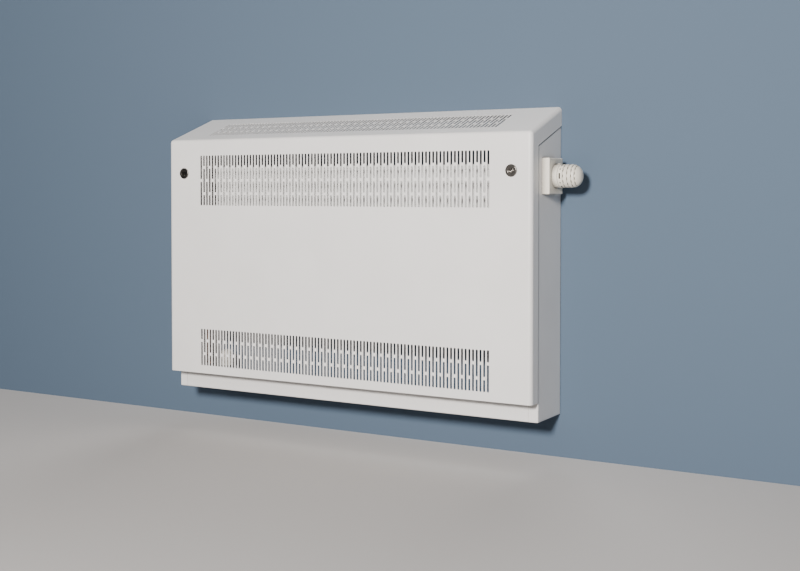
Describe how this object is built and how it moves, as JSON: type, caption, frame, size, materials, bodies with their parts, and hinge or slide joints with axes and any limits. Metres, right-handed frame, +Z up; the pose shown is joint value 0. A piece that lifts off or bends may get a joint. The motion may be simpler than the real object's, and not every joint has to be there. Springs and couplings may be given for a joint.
{
  "type": "low surface temperature radiator",
  "caption": "Wall-hung panel radiator in a folded steel casing with a drop-down grilled front, sloping grilled top, two corner locks and a side-mounted thermostatic valve head.",
  "frame": {"origin": "centre of the four wall fixing holes of the back frame, on the wall plane", "axes": "+Z up, +Y into the wall, the front faces -Y, +X to the right seen from the front"},
  "size_m": [1.072, 0.1626, 0.684],
  "materials": {
    "powder_coat": "satin fine-textured powder coat",
    "radiator_enamel": "smooth semi-gloss enamel",
    "zinc_steel": "bright zinc plated",
    "dark_nickel": "dark nickel plated, satin",
    "nickel_plated_brass": "nickel plated, satin",
    "brass": "machined",
    "spring_steel": "drawn wire",
    "white_plastic": "moulded, fine satin",
    "buffer_rubber": "matt",
    "copper": "drawn copper tube"
  },
  "bodies": {
    "casing": {"side_panel_left": "powder_coat", "side_panel_right": "powder_coat", "bottom_rail": "powder_coat", "top_rail": "powder_coat", "top_rail_screws": "zinc_steel", "keeper_rivets": "zinc_steel", "door_buffers": "buffer_rubber", "corner_gussets": "powder_coat", "hinge_arm_left": "zinc_steel", "hinge_arm_right": "zinc_steel", "hinge_pins": "zinc_steel", "hinge_clips": "zinc_steel", "valve_guard_box": "white_plastic", "guard_box_screws": "zinc_steel", "lock_keeper_left": "zinc_steel", "lock_keeper_right": "zinc_steel", "radiator_front_panel": "radiator_enamel", "radiator_rear_panel": "radiator_enamel", "convector_fins": "radiator_enamel", "radiator_tappings": "radiator_enamel", "radiator_lugs": "radiator_enamel", "radiator_bracket_left": "zinc_steel", "radiator_bracket_right": "zinc_steel", "air_vent_plug": "nickel_plated_brass", "blanking_plug": "nickel_plated_brass", "trv_tail": "nickel_plated_brass", "trv_union_nut": "nickel_plated_brass", "trv_valve_body": "nickel_plated_brass", "trv_gland": "nickel_plated_brass", "trv_collar_nut": "nickel_plated_brass", "trv_head_base": "white_plastic", "trv_return_spring": "spring_steel", "lockshield_body": "nickel_plated_brass", "lockshield_gland": "brass", "compression_olives": "brass", "compression_nuts": "nickel_plated_brass", "pipe_adaptor": "nickel_plated_brass", "return_pipe": "copper"},
    "door": {"front_door": "powder_coat", "door_stiffener": "powder_coat", "door_stay_left": "zinc_steel", "door_stay_right": "zinc_steel", "door_hinge_block_left": "zinc_steel", "door_hinge_block_right": "zinc_steel", "lock_housing_left": "dark_nickel", "lock_housing_right": "dark_nickel", "lock_nuts": "zinc_steel"},
    "lock_left": {"lock_cylinder_left": "dark_nickel", "lock_cam_left": "zinc_steel", "lock_cam_screw_left": "zinc_steel"},
    "lock_right": {"lock_cylinder_right": "dark_nickel", "lock_cam_right": "zinc_steel", "lock_cam_screw_right": "zinc_steel"},
    "trv_head": {"trv_head_shell": "white_plastic"},
    "trv_plunger": {"trv_pin": "brass", "trv_sensor_capsule": "brass"},
    "lockshield_stem": {"lockshield_spindle": "brass"},
    "lockshield_cover": {"lockshield_cap": "white_plastic"},
    "bleed_valve": {"bleed_screw": "nickel_plated_brass"}
  },
  "joints": [
    {"name": "door_hinge", "type": "hinge", "parent": "casing", "child": "door", "pos_m": [0, -0.152, -0.302], "axis": [1, 0, 0], "range_deg": [0, 85]},
    {"name": "lock_left_turn", "type": "hinge", "parent": "door", "child": "lock_left", "pos_m": [-0.45, -0.15, 0.1875], "axis": [0, -1, 0], "range_deg": [0, 90]},
    {"name": "lock_right_turn", "type": "hinge", "parent": "door", "child": "lock_right", "pos_m": [0.45, -0.15, 0.1875], "axis": [0, 1, 0], "range_deg": [0, 90]},
    {"name": "trv_head_turn", "type": "hinge", "parent": "casing", "child": "trv_head", "pos_m": [0.55, -0.068, 0.176], "axis": [1, 0, 0], "range_deg": [-140, 140]},
    {"name": "trv_pin_slide", "type": "slide", "parent": "casing", "child": "trv_plunger", "axis": [1, 0, 0], "range_m": [-0.00147, 0.00147], "deforming": ["trv_return_spring"]},
    {"name": "lockshield_spindle_turn", "type": "hinge", "parent": "casing", "child": "lockshield_stem", "pos_m": [-0.39, -0.068, -0.3], "axis": [0, 0, 1], "range_deg": [0, 720]},
    {"name": "lockshield_cap_lift", "type": "slide", "parent": "casing", "child": "lockshield_cover", "axis": [0, 0, 1], "range_m": [0, 0.045]},
    {"name": "bleed_screw_turn", "type": "hinge", "parent": "casing", "child": "bleed_valve", "pos_m": [-0.41, -0.068, 0.176], "axis": [-1, 0, 0], "range_deg": [0, 180]}
  ],
  "couplings": [
    {"joint": "trv_head_turn", "follows": "trv_pin_slide", "rad_per_m": 1666.7}
  ]
}
